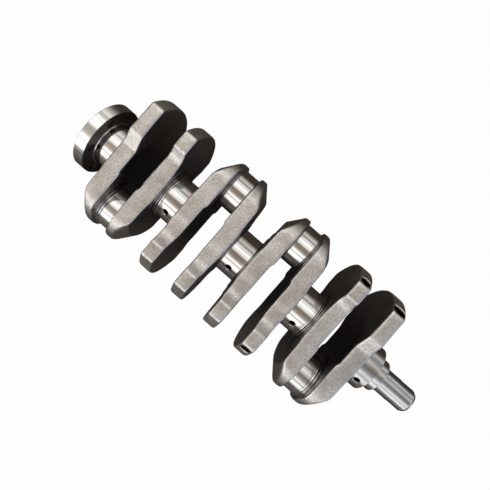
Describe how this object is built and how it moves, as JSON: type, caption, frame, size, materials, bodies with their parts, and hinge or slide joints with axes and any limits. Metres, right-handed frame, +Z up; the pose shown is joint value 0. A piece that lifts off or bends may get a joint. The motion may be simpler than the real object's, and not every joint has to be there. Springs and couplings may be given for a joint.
{
  "type": "crankshaft",
  "caption": "Flat-plane inline-four crankshaft with counterweighted webs, ground journals, stepped snout, flywheel flange and pilot bearing.",
  "frame": {"origin": "centre of main journal 3, on the crank axis", "axes": "+X along the crank axis towards the snout, +Y in the throw plane towards crankpins 2 and 3, +Z up, square to the throw plane"},
  "size_m": [0.4066, 0.1426, 0.091],
  "materials": {
    "forged_steel": "shot-blasted forging",
    "ground_steel": "ground and polished",
    "turned_steel": "fine turned",
    "bearing_steel": "ground and honed",
    "cage_brass": "machined",
    "shield_steel": "pressed sheet",
    "key_steel": "dark ground"
  },
  "bodies": {
    "crankshaft": {"web_1": "forged_steel", "web_2": "forged_steel", "web_3": "forged_steel", "web_4": "forged_steel", "web_5": "forged_steel", "web_6": "forged_steel", "web_7": "forged_steel", "web_8": "forged_steel", "main_journal_1": "ground_steel", "main_journal_2": "ground_steel", "main_journal_3": "ground_steel", "main_journal_4": "ground_steel", "main_journal_5": "ground_steel", "crankpin_1": "ground_steel", "crankpin_2": "ground_steel", "crankpin_3": "ground_steel", "crankpin_4": "ground_steel", "rear_flange": "turned_steel", "timing_drive_seat": "turned_steel", "snout": "turned_steel", "snout_key": "key_steel", "flange_dowel": "key_steel", "pilot_bearing_outer_race": "bearing_steel", "pilot_bearing_shields": "shield_steel"},
    "pilot_inner_ring": {"pilot_bearing_inner_race": "bearing_steel"},
    "pilot_ball_cage": {"pilot_bearing_cage": "cage_brass", "pilot_bearing_balls": "bearing_steel"}
  },
  "joints": [
    {"name": "pilot_bearing_spin", "type": "hinge", "parent": "crankshaft", "child": "pilot_inner_ring", "pos_m": [-0.1775, 0, 0], "axis": [1, 0, 0], "continuous": true},
    {"name": "pilot_cage_spin", "type": "hinge", "parent": "crankshaft", "child": "pilot_ball_cage", "pos_m": [-0.1775, 0, 0], "axis": [1, 0, 0], "continuous": true}
  ],
  "couplings": [
    {"joint": "pilot_cage_spin", "follows": "pilot_bearing_spin", "ratio": 0.366}
  ]
}
